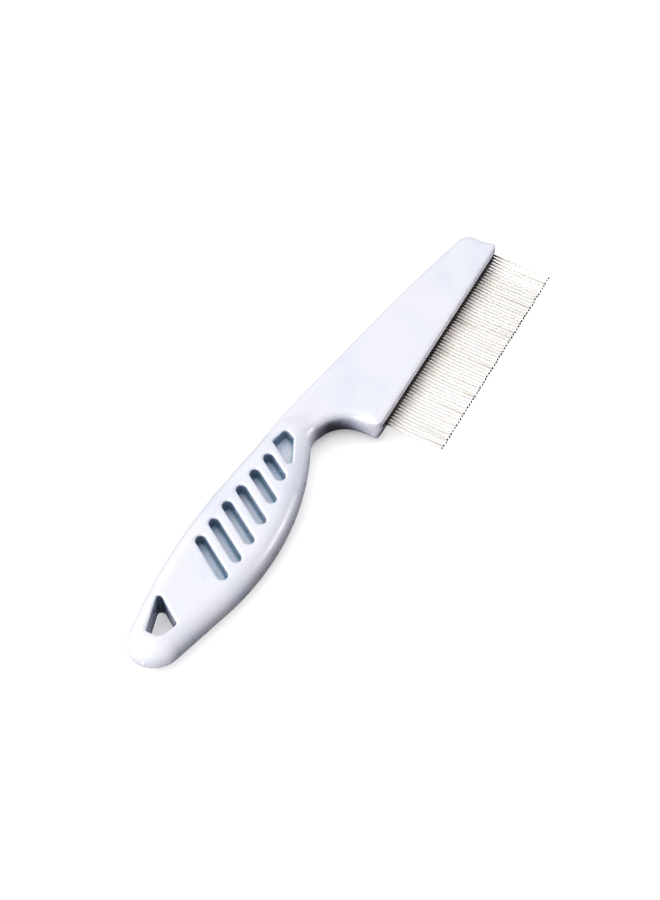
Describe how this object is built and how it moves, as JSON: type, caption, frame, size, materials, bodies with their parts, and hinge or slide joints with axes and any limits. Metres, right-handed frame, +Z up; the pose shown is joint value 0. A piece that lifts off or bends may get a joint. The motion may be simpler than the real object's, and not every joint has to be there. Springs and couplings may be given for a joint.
{
  "type": "flea comb",
  "caption": "Handheld flea comb with a flat row of fine straight steel pins in a moulded plastic head, a finger rest and a slotted almond-shaped grip with a hanging hole.",
  "frame": {"origin": "under the centre of the comb's bounding box, on the surface that the comb lies on", "axes": "+X from the tail of the grip to the far end of the head, along the row of pins; the pins point to -Y; +Z up, square to the flat faces"},
  "size_m": [0.1706, 0.0494, 0.012],
  "materials": {
    "handle_plastic": "glossy moulded plastic, white with a faint cool blue tint",
    "carrier_plastic": "satin moulded plastic, dark grey",
    "pin_steel": "polished stainless wire, warm white highlights, darker tips"
  },
  "bodies": {
    "root": {"handle": "handle_plastic", "pin_carrier": "carrier_plastic", "pin_pair_01": "pin_steel", "pin_pair_02": "pin_steel", "pin_pair_03": "pin_steel", "pin_pair_04": "pin_steel", "pin_pair_05": "pin_steel", "pin_pair_06": "pin_steel", "pin_pair_07": "pin_steel", "pin_pair_08": "pin_steel", "pin_pair_09": "pin_steel", "pin_pair_10": "pin_steel", "pin_pair_11": "pin_steel", "pin_pair_12": "pin_steel", "pin_pair_13": "pin_steel", "pin_pair_14": "pin_steel", "pin_pair_15": "pin_steel", "pin_pair_16": "pin_steel", "pin_pair_17": "pin_steel", "pin_pair_18": "pin_steel", "pin_pair_19": "pin_steel", "pin_pair_20": "pin_steel", "pin_pair_21": "pin_steel", "pin_pair_22": "pin_steel", "pin_pair_23": "pin_steel", "pin_pair_24": "pin_steel", "pin_pair_25": "pin_steel", "pin_pair_26": "pin_steel", "pin_pair_27": "pin_steel", "pin_pair_28": "pin_steel", "pin_pair_29": "pin_steel", "pin_pair_30": "pin_steel", "pin_pair_31": "pin_steel"}
  },
  "joints": []
}
